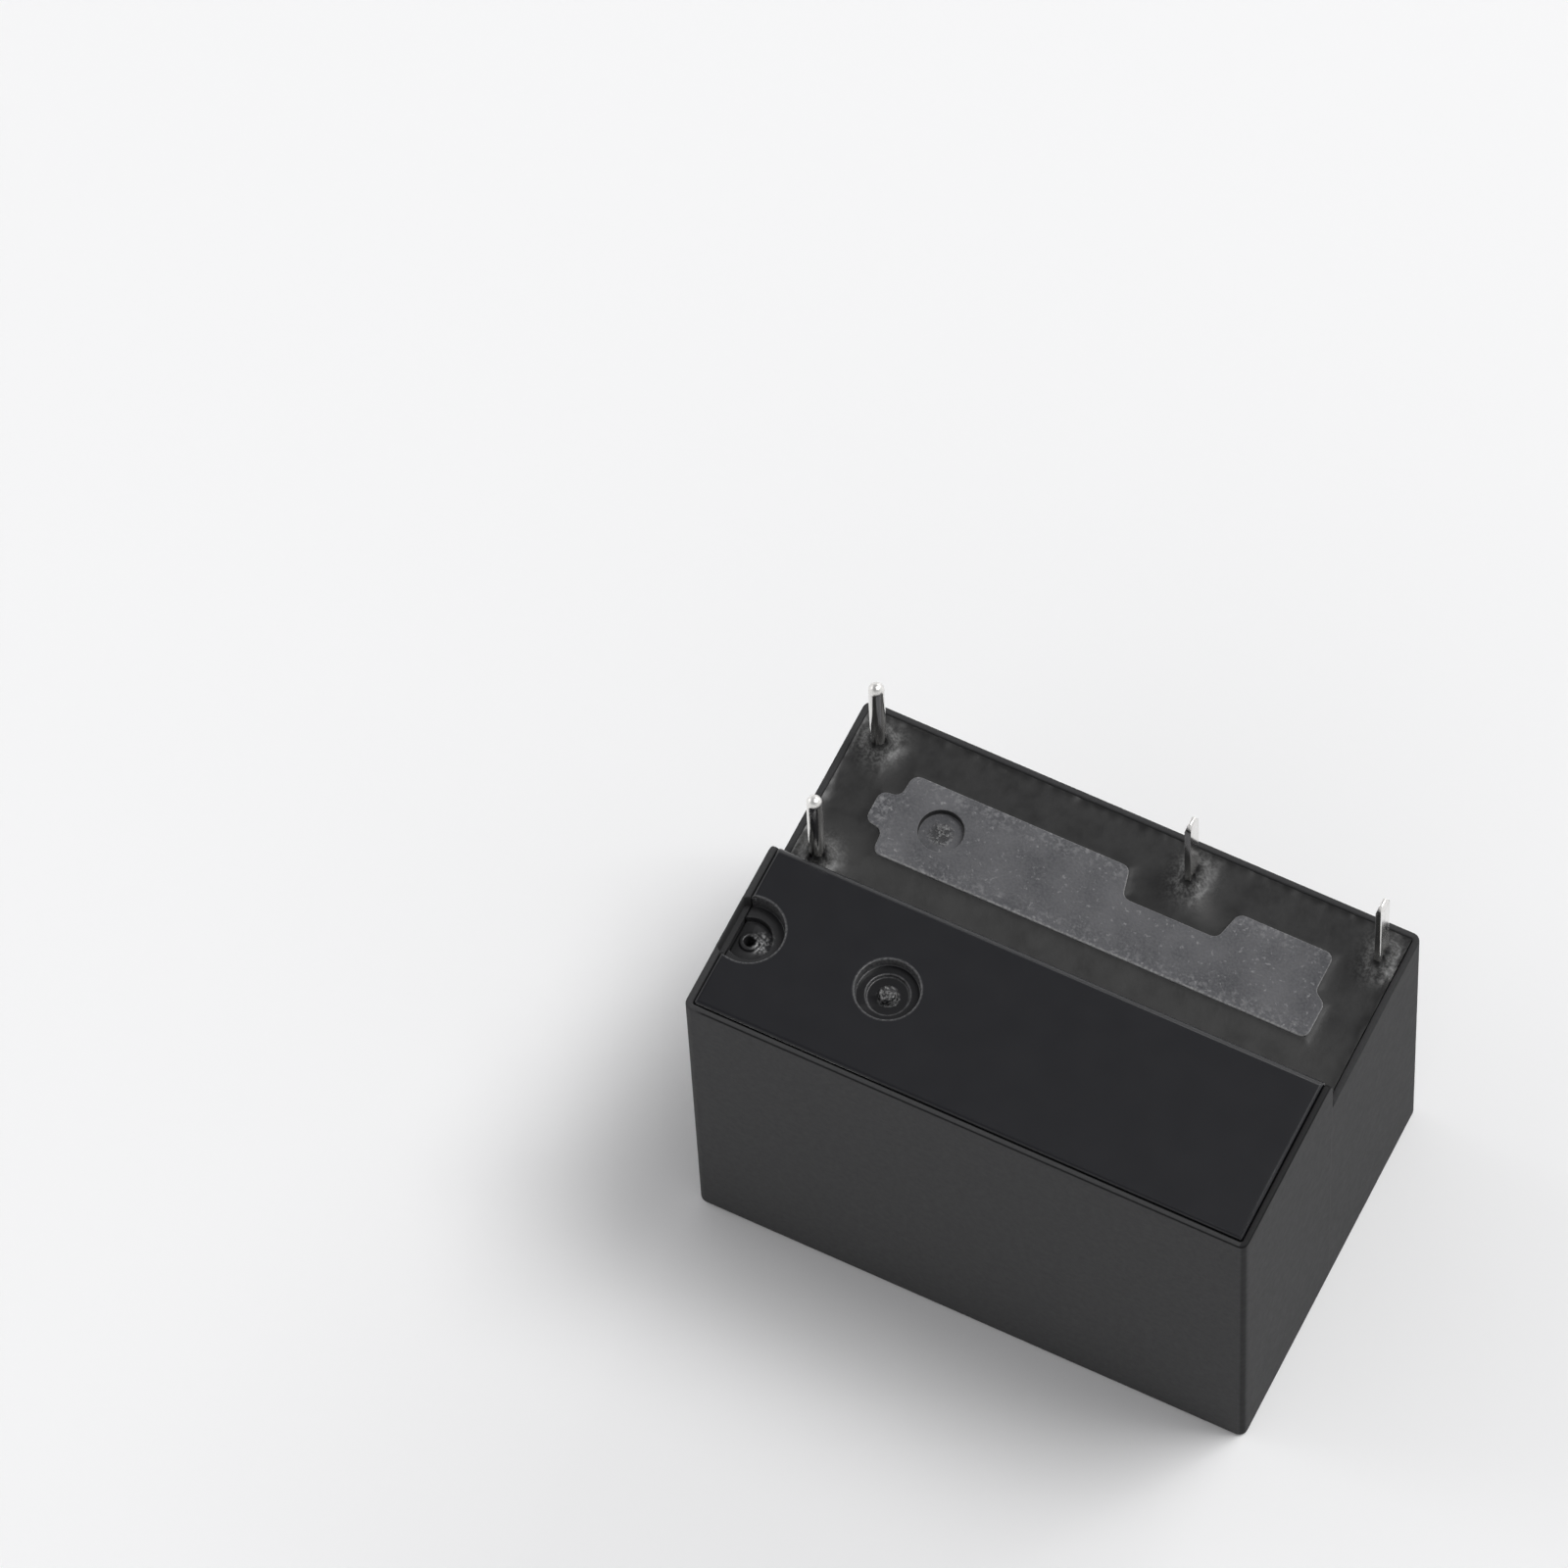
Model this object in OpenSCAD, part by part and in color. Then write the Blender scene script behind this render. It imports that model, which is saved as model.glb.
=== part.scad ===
// Sealed board relay with one make contact, lying on its flat case face with the pins up.
// The coil lies along X in the front half, the contacts stand in the rear half on the right.

/* [Board grid] */
// Distance between neighbouring points of the board grid
pin_pitch = 2.54; // [2.5:0.01:2.6]
// Grid steps from the coil pins to the common pin
row_steps = 8; // [8:1:9]
// Grid steps from the fixed contact pin to the common pin
contact_steps = 3; // [3:1:4]
// Length of the pins beyond the raised strip
pin_len = 2.4; // [2:0.1:5]
// Diameter of the round coil pins
coil_pin_d = 0.6; // [0.5:0.02:0.7]
// Width of the flat contact pins
flat_pin_w = 0.75; // [0.6:0.01:1]
// Sheet thickness of the contact terminals
terminal_t = 0.25; // [0.2:0.01:0.4]

/* [Case] */
// Distance from the coil pins to the left end of the case
coil_end = 1.2; // [1.15:0.05:1.6]
// Distance from the common pin to the right end of the case
contact_end = 0.98; // [0.95:0.01:1.4]
// Distance from the rear pin row to the back of the case
rear_edge = 1.45; // [1.3:0.05:1.7]
// Width of the case, front to back
case_w = 15; // [14.8:0.1:16.5]
// Height from the face it lies on to the raised strip
case_h = 16.6; // [16.2:0.1:20]
// Drop from the raised strip to the rear deck
deck_drop = 2.1; // [1.7:0.1:2.5]
// Depth of the raised strip, front to back
strip_w = 7.34; // [7:0.02:7.7]
// Wall of the cover
cover_wall = 0.5; // [0.4:0.02:0.55]
// Floor of the cover
cover_floor = 0.6; // [0.5:0.05:0.8]
// Thickness of the thin rim above the seat of the base
rim_t = 0.27; // [0.2:0.01:0.33]
// Radius of the upright edges of the cover
corner_r = 0.35; // [0.2:0.05:0.5]
// Radius of the cover's edges round its floor
floor_r = 0.15; // [0.1:0.01:0.25]
// Free space all round a piece that sits in another
fit = 0.03; // [0.02:0.005:0.04]

/* [Base] */
// Thickness of the rear deck
deck_t = 1.1; // [0.9:0.05:1.3]
// Depth of the resin trough below the rear rim
trough_d = 1; // [0.8:0.05:1.2]
// Height of the flange that rests in the cover
flange_h = 0.6; // [0.4:0.05:0.8]
// Wall of the raised block
block_wall = 0.9; // [0.7:0.05:1.1]
// Roof of the raised block
roof_t = 1.3; // [1.2:0.05:1.6]
// Radius of the strip's edges beside the rim
strip_r = 0.16; // [0.1:0.02:0.2]
// Radius of the strip's edge above the deck
step_r = 0.4; // [0.2:0.02:0.5]
// Diameter of the gate recess
gate_d = 2.4; // [2:0.1:2.8]
// Diameter of the vent recess
vent_d = 2.65; // [2.2:0.05:2.9]
// Diameter of the ejector mark on the island
mark_d = 1.7; // [1.2:0.1:2]
// Height of the island above the resin
island_h = 0.12; // [0.05:0.01:0.2]
// Height to which the resin climbs at a pin
climb_h = 0.3; // [0.2:0.05:0.4]
// Radius of the resin's climb at a pin
climb_r = 0.95; // [0.7:0.05:1]

/* [Coil] */
// Diameter of the finished coil, over its tape
coil_d = 8; // [7.4:0.1:8.2]
// Diameter of the iron core
core_d = 3.2; // [2.8:0.1:3.6]
// Wall of the bobbin's tube
tube_wall = 0.45; // [0.35:0.05:0.6]
// Thickness of the bobbin's end flanges
flange_t = 0.9; // [0.7:0.05:1.1]
// Thickness of the coil's tape
tape_t = 0.07; // [0.05:0.01:0.1]
// Thickness of the yoke
yoke_t = 0.9; // [0.8:0.05:1]
// Width of the yoke
yoke_w = 5.8; // [5.4:0.1:6.2]
// Diameter of the core's pole head
pole_d = 5; // [4.2:0.1:5.6]
// Thickness of the core's pole head
pole_t = 0.75; // [0.6:0.05:0.9]
// Height of the bobbin's lug round the coil pins
lug_h = 2.2; // [1.8:0.1:2.4]
// Diameter of the coil wire
wire_d = 0.16; // [0.12:0.01:0.18]

/* [Contacts] */
// Distance from the common pin back to the pole face
pole_set = 3.9; // [3.7:0.1:4.2]
// Thickness of the armature
armature_t = 0.9; // [0.8:0.05:1]
// Angle of the open armature
open_angle = 4; // [3:0.5:4.5]
// Thickness of the contact leaf
leaf_t = 0.12; // [0.08:0.01:0.15]
// Width of the contact leaf
leaf_w = 2.2; // [1.9:0.1:2.4]
// Diameter of the contact buttons
button_d = 2; // [1.6:0.1:2.2]
// Height of the contact buttons
button_h = 0.45; // [0.35:0.05:0.5]
// Distance between the open contacts
contact_gap = 0.47; // [0.4:0.01:0.5]
// Height of the actuator arm
arm_h = 1.1; // [0.9:0.05:1.2]
// Space under the actuator arm
arm_gap = 0.6; // [0.55:0.05:0.8]

/* [Hidden] */
$fn = 48;

// Grid steps between the two coil pins
coil_steps = 2;

// The case and its pins on the board grid
case_l = row_steps * pin_pitch + coil_end + contact_end;
left = -case_l / 2;
right = case_l / 2;
front = -case_w / 2;
back = case_w / 2;
coil_x = left + coil_end;
common_x = right - contact_end;
fixed_x = common_x - contact_steps * pin_pitch;
rear_y = back - rear_edge;
front_y = rear_y - coil_steps * pin_pitch;
step_y = front + strip_w;
tip_z = case_h + pin_len;

// Levels of the base
deck_z = case_h - deck_drop;
trough_z = deck_z - trough_d;
under_z = trough_z - deck_t;
ledge_z = under_z + flange_h;
rim_drop = 0.05;
resin_drop = 0.1;
resin_z = deck_z - resin_drop;
island_z = resin_z + island_h;
round_z = resin_z + climb_h;

// Marks of the moulding on the base
mark_row_set = 3.78;
mark_row_y = front + mark_row_set;
gate_set = 6.41;
gate_x = left + gate_set;
gate_depth = 0.45;
gate_step = 0.15;
sprue_r = 0.42;
sprue_tip_r = 0.3;
sprue_h = 0.3;
vent_set = 0.81;
vent_x = left + vent_set;
vent_depth = 0.75;
vent_skin = 0.08;
bowl_depth = 1.1;
bowl_d = 1.7;
vent_hole_d = 0.4;
vent_ring_d = 0.75;
vent_ring_h = 0.12;
vent_hole_depth = 1.9;
mark_depth = 0.3;
mark_set = [3.65, 3.94];
mark_x = coil_x + mark_set[0];
mark_y = step_y + mark_set[1];

// Coil pins are square where they are held
square_step = 0.04;
square_w = coil_pin_d - square_step;
post_len = 2;

// The coil hangs under the yoke, the yoke under the base
yoke_gap = 0.2;
yoke_side = 0.6;
coil_side = 0.12;
flange_lip = 0.1;
flange_half = coil_d / 2 + flange_lip;
yoke_top = under_z - yoke_gap;
yoke_bottom = yoke_top - yoke_t;
coil_z = yoke_bottom - fit - flange_half;
coil_y = front + cover_wall + coil_side + flange_half;
coil_back = coil_y + flange_half;
pole_x = common_x - pole_set;
yoke_x = left + cover_wall + yoke_side;
bobbin_x0 = yoke_x + yoke_t + fit;
bobbin_x1 = pole_x - pole_t - fit;
lug_half = 0.55;
lug_top = under_z - fit;
lug_bottom = lug_top - lug_h;
tube_r = core_d / 2 + fit + tube_wall;
neck_d = 2;
leg_below_core = 1;

// The yoke's leg keeps clear of the lug round the coil pins
lug_gap = 0.3;
web_gap = 0.15;
yoke_half = yoke_w / 2;
leg_half = min(yoke_half, front_y - lug_half - lug_gap - coil_y);

// Stakes of the yoke and the hinge spring that they hold
stake_r = 0.45;
stake_h = 0.25;
stake_set = 2.6;
stake_pitch = 1.6;
stake_x = [pole_x - stake_set - stake_pitch, pole_x - stake_set];
spring_t = 0.12;
spring_half = 1.3;
spring_reach = 5;
spring_leg = 1.6;
spring_play = 0.15;

// Ribs under the base: two press on the yoke, one parts the coil from the contacts
rib_t = 0.8;
rib_set = 3;
rib_pole_set = 6.5;
barrier_gap = 0.25;
barrier_t = 0.6;
barrier_drop = 2;
barrier_set = 3.2;
barrier_end = 1.2;

// The armature tips on the yoke's end and swings down beside the pole
hinge_gap = 0.06;
hinge_x = pole_x + hinge_gap;
hinge_z = yoke_top - yoke_t / 2;
armature_side = 0.1;
armature_half = yoke_half - armature_side;
armature_rise = 0.25;
arm_z = cover_floor + arm_gap;
tongue_half = 1.5;
tongue_rise = 0.5;
tongue_z = arm_z + tongue_rise;
neck_gap = 0.3;
neck_slope = 0.6;
collar_h = 2;
collar_t = 0.6;
collar_half = tongue_half + collar_t;
tongue_x = hinge_x + (hinge_z - arm_z) * sin(open_angle);

// The contact leaf stands against the common terminal
contact_set = 0.5;
contact_y = rear_y - contact_set;
common_face = common_x - terminal_t / 2;
leaf_back = common_face - fit;
leaf_front = leaf_back - leaf_t;
leaf_gap = 0.2;
leaf_tip = 0.6;
leaf_z = arm_z + arm_h + leaf_gap;
leaf_drop = 0.4;
leaf_top = under_z - leaf_drop;
contact_rise = 1.9;
contact_z = leaf_z + contact_rise;
clamp_h = 3.9;
clamp_z = under_z - clamp_h;
plate_lip = 0.05;
plate_half = leaf_w / 2 + plate_lip;
plate_drop = 0.1;
plate_top = under_z - plate_drop;
rivet_set = 1;
rivet_pitch = 1.7;
rivet_z = [clamp_z + rivet_set, clamp_z + rivet_set + rivet_pitch];
rivet_r = 0.3;
rivet_head_r = 0.55;
rivet_head_h = 0.18;
shank_r = 0.5;
tail_r = 0.65;
tail_h = 0.15;
dome_r = 2.2;
seat_x = leaf_front - 2 * button_h - contact_gap;
finger_t = 0.5;
finger_half = 0.7;
finger_rise = 0.7;
finger_x = leaf_back + fit;

// Wraps of the coil wire on the pins' posts
wraps = 4;
wrap_steps = 12;
wrap_gap = 0.02;
wrap_r = square_w * sqrt(2) / 2 + wire_d / 2 + fit;
rear_drop = 1.1;
front_drop = 1.7;

// A closed outline with each corner replaced by an arc of radius r
arc_steps = 4;
function toward(a, b) = (b - a) / norm(b - a);
function wrap_angle(a) = a > 180 ? a - 360 : (a < -180 ? a + 360 : a);
function corner_arc(a, b, c, r) =
    let (u = toward(b, a), v = toward(b, c), half = acos(u * v) / 2)
    let (centre = b + toward([0, 0], u + v) * r / sin(half))
    let (p = b + u * r / tan(half) - centre, q = b + v * r / tan(half) - centre)
    let (start = atan2(p[1], p[0]), sweep = wrap_angle(atan2(q[1], q[0]) - start))
    [for (i = [0 : arc_steps]) centre + r * [cos(start + sweep * i / arc_steps),
        sin(start + sweep * i / arc_steps)]];
function rounded(points, r) = [for (i = [0 : len(points) - 1])
    each corner_arc(points[(i + len(points) - 1) % len(points)], points[i],
        points[(i + 1) % len(points)], r)];

// A round wire along a route that never runs straight up
wire_sides = 8;
function route_dir(p, i) = toward(p[max(i - 1, 0)], p[min(i + 1, len(p) - 1)]);
function ring(p, i, r) =
    let (d = route_dir(p, i), side = toward([0, 0, 0], cross(d, [0, 0, 1])), up = cross(side, d))
    [for (k = [0 : wire_sides - 1]) p[i] + r * (side * cos(360 * k / wire_sides)
        + up * sin(360 * k / wire_sides))];
module wire(p, r) {
    last = len(p) - 1;
    points = [for (i = [0 : last]) each ring(p, i, r)];
    walls = [for (i = [0 : last - 1], k = [0 : wire_sides - 1])
        let (a = i * wire_sides + k, b = i * wire_sides + (k + 1) % wire_sides)
        each [[a, b, b + wire_sides], [a, b + wire_sides, a + wire_sides]]];
    start_cap = [for (k = [wire_sides - 1 : -1 : 0]) k];
    end_cap = [for (k = [0 : wire_sides - 1]) last * wire_sides + k];
    polyhedron(points, concat(walls, [start_cap, end_cap]), convexity = 6);
}

// Plan of the case, moved in by an inset
module plan(inset) {
    r = max(corner_r - inset, 0.1);
    l = case_l - 2 * inset;
    w = case_w - 2 * inset;
    square([l - 2 * r, w], center = true);
    square([l, w - 2 * r], center = true);
    for (sx = [-1, 1], sy = [-1, 1])
        translate([sx * (l / 2 - r), sy * (w / 2 - r)])
            circle(r);
}

// A slab of that plan between two levels
module slab(inset, z0, z1) {
    translate([0, 0, z0])
        linear_extrude(z1 - z0)
            plan(inset);
}

// Rectangle centred on X that stands on the origin, its upper corners round by r0 and r1
module arch(w, h, r0, r1) {
    translate([-w / 2, 0])
        square([w / 2, h - r0]);
    square([w / 2, h - r1]);
    translate([r0 - w / 2, 0])
        square([w - r0 - r1, h]);
    translate([r0 - w / 2, h - r0])
        circle(r0);
    translate([w / 2 - r1, h - r1])
        circle(r1);
}

// A box between two corners
module block(a, b) {
    translate(a)
        cube(b - a);
}

// Outline in the YZ plane carried along X, from x0 over t
module plate_yz(points, x0, t) {
    translate([x0, 0, 0])
        rotate([90, 0, 90])
            linear_extrude(t)
                polygon(points);
}

// Outline in the XZ plane carried along Y, from y0 over t
module plate_xz(points, y0, t) {
    translate([0, y0 + t, 0])
        rotate([90, 0, 0])
            linear_extrude(t)
                polygon(points);
}

// A round bar along X
module bar(x0, x1, y, z, r) {
    translate([x0, y, z])
        rotate([0, 90, 0])
            cylinder(r = r, h = x1 - x0);
}

// Block of the case with round edges round its floor
module case_block() {
    h = case_h - rim_drop;
    intersection() {
        slab(0, 0, h);
        translate([left - 1, 0, h])
            rotate([90, 0, 90])
                linear_extrude(case_l + 2)
                    mirror([0, 1])
                        arch(case_w, h, floor_r, floor_r);
        translate([0, back + 1, h])
            rotate([90, 0, 0])
                linear_extrude(case_w + 2)
                    mirror([0, 1])
                        arch(case_l, h, floor_r, floor_r);
    }
}

// Thin-walled case with a rounded step in its side walls and a seat for the base
module cover() {
    color([0.25, 0.25, 0.26])
        difference() {
            case_block();
            slab(cover_wall, cover_floor, case_h);
            slab(rim_t, ledge_z, case_h);
            block([left - 1, step_y, deck_z], [right + 1, back + 1, case_h]);
            translate([left - 1, step_y - step_r, case_h - rim_drop - step_r])
                rotate([90, 0, 90])
                    linear_extrude(case_l + 2)
                        difference() {
                            square(step_r + 1);
                            circle(step_r);
                        }
            intersection() {
                vent_mouth();
                slab(vent_skin, ledge_z, case_h);
            }
        }
}

// Outline of the island that stands out of the resin, set out from the pins
island_left = 1.75;
island_right = 1.07;
island_front = 2.08;
island_back = 0.6;
island_r = 0.35;
notch_depth = 1.25;
notch_half = 1.9;
notch_slope = 0.3;
tab_len = 0.82;
tab_y0 = 1.08;
tab_y1 = 2.42;
tab_slope = 0.07;
end_y0 = 1.55;
end_y1 = 1.9;
end_step = 0.5;
module island_plan() {
    x0 = coil_x + island_left;
    x1 = common_x - island_right;
    y0 = step_y + island_front;
    y1 = rear_y - island_back;
    polygon(rounded([
        [x0, y0],
        [x1, y0],
        [x1, y0 + end_y0],
        [x1 - end_step, y0 + end_y1],
        [x1 - end_step, y1],
        [fixed_x + notch_half + notch_slope, y1],
        [fixed_x + notch_half, y1 - notch_depth],
        [fixed_x - notch_half, y1 - notch_depth],
        [fixed_x - notch_half - notch_slope, y1],
        [x0, y1],
        [x0 - tab_slope, y0 + tab_y1 + tab_slope],
        [x0 - tab_len, y0 + tab_y1],
        [x0 - tab_len, y0 + tab_y0],
        [x0 - tab_slope, y0 + tab_y0 - tab_slope]
    ], island_r));
}

// Square hole for a coil pin, flat hole for a contact pin
module pin_holes(play, z0, z1) {
    for (y = [front_y, rear_y])
        translate([coil_x, y, (z0 + z1) / 2])
            cube([square_w + 2 * play, square_w + 2 * play, z1 - z0], center = true);
    for (x = [fixed_x, common_x])
        translate([x, rear_y, (z0 + z1) / 2])
            cube([terminal_t + 2 * play, flat_pin_w + 2 * play, z1 - z0], center = true);
}

// Raised block at the front, round along the edges of its top
module raised_block() {
    inset = rim_t + fit;
    h = case_h - under_z;
    intersection() {
        union() {
            slab(cover_wall + fit, under_z, ledge_z + fit);
            slab(inset, ledge_z + fit, case_h);
        }
        translate([left, (front + inset + step_y) / 2, under_z])
            rotate([90, 0, 90])
                linear_extrude(case_l)
                    arch(step_y - front - inset, h, strip_r, step_r);
        translate([0, step_y, under_z])
            rotate([90, 0, 0])
                linear_extrude(case_w)
                    arch(case_l - 2 * inset, h, strip_r, strip_r);
    }
}

// Recess left by the gate, deeper round the broken sprue in its middle
module gate_recess() {
    translate([gate_x, mark_row_y, case_h - gate_depth])
        cylinder(d = gate_d, h = case_h);
    translate([gate_x, mark_row_y, case_h - gate_depth - gate_step])
        cylinder(d = gate_d * 2 / 3, h = case_h);
}

// Round mouth over the breather hole, which runs on into the cover's left rim
module vent_mouth() {
    translate([vent_x, mark_row_y, case_h - vent_depth])
        cylinder(d = vent_d, h = case_h);
}

// Recess round the breather hole
module vent_recess() {
    vent_mouth();
    difference() {
        translate([vent_x, mark_row_y, case_h - bowl_depth])
            cylinder(d = bowl_d, h = case_h);
        translate([vent_x, mark_row_y, case_h - bowl_depth])
            cylinder(d = vent_ring_d, h = vent_ring_h);
    }
    translate([vent_x, mark_row_y, case_h - vent_hole_depth])
        cylinder(d = vent_hole_d, h = case_h);
}

// Moulding that closes the case: hollow raised block, deck, island and the ribs underneath
module base() {
    wall = cover_wall + fit + block_wall;
    barrier_y = coil_back + barrier_gap;
    color([0.14, 0.14, 0.15])
        union() {
            difference() {
                union() {
                    slab(cover_wall + fit, under_z, ledge_z + fit);
                    slab(rim_t + fit, ledge_z + fit, trough_z);
                    raised_block();
                    translate([0, 0, under_z + deck_t / 2])
                        linear_extrude(island_z - under_z - deck_t / 2)
                            island_plan();
                    block([coil_x + barrier_set, barrier_y, coil_z - barrier_drop],
                        [pole_x - barrier_end, barrier_y + barrier_t, under_z + deck_t / 2]);
                }
                block([left + wall, front + wall, 0],
                    [right - wall, step_y - block_wall, case_h - roof_t]);
                gate_recess();
                vent_recess();
                translate([mark_x, mark_y, island_z - mark_depth])
                    cylinder(d = mark_d, h = case_h);
                pin_holes(fit, 0, tip_z);
            }
            for (x = [coil_x + rib_set, pole_x - rib_pole_set])
                block([x, front + wall - block_wall / 2, yoke_top + fit],
                    [x + rib_t, step_y - block_wall / 2, case_h - roof_t / 2]);
            translate([gate_x, mark_row_y, case_h - gate_depth - 2 * gate_step])
                cylinder(r1 = sprue_r, r2 = sprue_tip_r, h = gate_step + sprue_h);
        }
}

// Climb of the resin at a pin, steepest at the pin
module climb(x, y) {
    pin_r = coil_pin_d / 2;
    depth = resin_z - trough_z;
    steps = 6;
    slope = [for (i = [0 : steps])
        let (r = climb_r + (pin_r - climb_r) * i / steps)
        [r, climb_h * pow(i / steps, 2)]];
    translate([x, y, resin_z])
        rotate_extrude()
            polygon(concat([[0, -depth / 2], [climb_r, -depth / 2]], slope, [[0, climb_h]]));
}

// Potting resin that fills the trough round the island and the pins
module sealing_resin() {
    color([0.22, 0.22, 0.23])
        difference() {
            intersection() {
                union() {
                    slab(0, trough_z, resin_z);
                    for (y = [front_y, rear_y])
                        climb(coil_x, y);
                    for (x = [fixed_x, common_x])
                        climb(x, rear_y);
                }
                slab(rim_t + fit / 2, trough_z, case_h);
                block([left, step_y + fit / 2, trough_z], [right, back, case_h]);
            }
            linear_extrude(case_h)
                island_plan();
            pin_holes(fit / 2, 0, tip_z);
        }
}

// Coil pin: square where it is held, round with a domed tip outside
module coil_terminal(y) {
    r = coil_pin_d / 2;
    foot = lug_bottom - post_len;
    color([0.78, 0.78, 0.76])
        translate([coil_x, y, 0]) {
            translate([-square_w / 2, -square_w / 2, foot])
                cube([square_w, square_w, round_z - foot]);
            translate([0, 0, round_z])
                rotate_extrude()
                    intersection() {
                        square([r, tip_z - round_z]);
                        union() {
                            square([r, tip_z - round_z - r]);
                            translate([0, tip_z - round_z - r])
                                circle(r);
                        }
                    }
        }
}

module coil_terminal_rear() {
    coil_terminal(rear_y);
}

module coil_terminal_front() {
    coil_terminal(front_y);
}

// Outline of a flat pin about its middle, with a chamfered tip
tip_chamfer = 0.4;
function pin_outline(mid, w, z) = [
    [mid - w / 2, z],
    [mid + w / 2, z],
    [mid + w / 2, tip_z - tip_chamfer],
    [mid + w / 4, tip_z],
    [mid - w / 4, tip_z],
    [mid - w / 2, tip_z - tip_chamfer]
];

// Flat pin in the rear row that starts at a level, its flat sides towards left and right
module flat_pin(x, z) {
    intersection() {
        plate_yz(pin_outline(rear_y, flat_pin_w, z), x - terminal_t / 2, terminal_t);
        plate_xz(pin_outline(x, terminal_t, z), rear_y - flat_pin_w, flat_pin_w * 2);
    }
}

// Flat pin of the common terminal, on a plate that the leaf is riveted to
module common_terminal() {
    color([0.8, 0.74, 0.6])
        difference() {
            union() {
                flat_pin(common_x, clamp_z);
                block([common_face, contact_y - plate_half, clamp_z],
                    [common_face + terminal_t, contact_y + plate_half, plate_top]);
            }
            for (z = rivet_z)
                bar(0, right, contact_y, z, rivet_r + fit);
        }
}

// Corner of bent sheet in plan: legs towards -X and -Y, outside corner at the origin
module bend(leg_x, leg_y, t, r) {
    difference() {
        union() {
            translate([-leg_x, -t])
                square([leg_x - r - t, t]);
            translate([-t, -leg_y])
                square([t, leg_y - r - t]);
            intersection() {
                translate([-r - t, -r - t])
                    circle(r + t);
                translate([-r - t, -r - t])
                    square(r + t);
            }
        }
        translate([-r - t, -r - t])
            circle(r);
    }
}

// Flat pin of the fixed terminal, on sheet bent along the back and in again to carry the contact
rail_h = 2.6;
bend_r = 0.1;
tab_margin = 0.2;
module fixed_terminal() {
    pin_x = fixed_x - terminal_t / 2;
    rail_y = rear_y + flat_pin_w / 2 + bend_r + terminal_t;
    rail_z = plate_top - rail_h;
    rail_mid = (seat_x - pin_x) / 2;
    tab_z = contact_z - button_d / 2 - tab_margin;
    color([0.8, 0.74, 0.6])
        difference() {
            union() {
                flat_pin(fixed_x, rail_z);
                translate([pin_x, rail_y, rail_z])
                    linear_extrude(rail_h)
                        mirror([1, 0])
                            bend(rail_mid + terminal_t, rail_y - rear_y + flat_pin_w / 2,
                                terminal_t, bend_r);
                translate([seat_x, rail_y, rail_z])
                    linear_extrude(rail_h)
                        bend(rail_mid, rail_y - contact_y + plate_half, terminal_t, bend_r);
                block([seat_x - terminal_t, contact_y - plate_half, tab_z],
                    [seat_x, rail_y - terminal_t - bend_r, plate_top]);
            }
            bar(0, right, contact_y, contact_z, shank_r + fit);
        }
}

// Contact button that faces along +X from its seat, with a riveted tail behind a sheet
module button(sheet) {
    rotate([0, 90, 0])
        rotate_extrude() {
            intersection() {
                square([button_d / 2, button_h]);
                translate([0, button_h - dome_r])
                    circle(dome_r, $fn = 96);
            }
            translate([0, -sheet - tail_h / 2])
                square([shank_r, sheet + tail_h / 2 + button_h / 2]);
            translate([0, -sheet - tail_h])
                square([tail_r, tail_h]);
        }
}

module fixed_contact() {
    color([0.85, 0.84, 0.8])
        translate([seat_x, contact_y, contact_z])
            button(terminal_t);
}

module moving_contact() {
    color([0.85, 0.84, 0.8])
        translate([leaf_front, contact_y, contact_z])
            rotate([0, 0, 180])
                button(leaf_t);
}

// Contact leaf, narrow where it bends, riveted at the top and pulled at its lower tip
leaf_waist = 0.35;
leaf_slope = 0.6;
leaf_shoulder = 0.2;
leaf_pad = 0.9;
module moving_spring() {
    w = leaf_w / 2;
    waist = w - leaf_waist;
    tip = finger_half + plate_lip;
    half = [
        [w, leaf_top],
        [w, clamp_z - leaf_shoulder],
        [waist, clamp_z - leaf_shoulder - leaf_slope],
        [waist, contact_z + leaf_pad + leaf_slope],
        [w, contact_z + leaf_pad],
        [w, contact_z - leaf_pad],
        [tip, leaf_z + leaf_tip],
        [tip, leaf_z]
    ];
    last = len(half) - 1;
    right_side = [for (p = half) [contact_y + p[0], p[1]]];
    left_side = [for (i = [last : -1 : 0]) [contact_y - half[i][0], half[i][1]]];
    color([0.79, 0.55, 0.3])
        difference() {
            plate_yz(concat(right_side, left_side), leaf_front, leaf_t);
            bar(0, right, contact_y, contact_z, shank_r + fit);
            for (z = rivet_z)
                bar(0, right, contact_y, z, rivet_r + fit);
        }
}

// Two rivets through the leaf and the common terminal
module spring_rivets() {
    plate_back = common_face + terminal_t;
    half_head = rivet_head_h / 2;
    color([0.82, 0.8, 0.72])
        for (z = rivet_z) {
            bar(leaf_front - rivet_head_h, leaf_front, contact_y, z, rivet_head_r);
            bar(leaf_front - half_head, plate_back + half_head, contact_y, z, rivet_r);
            bar(plate_back, plate_back + rivet_head_h, contact_y, z, rivet_head_r);
        }
}

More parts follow.
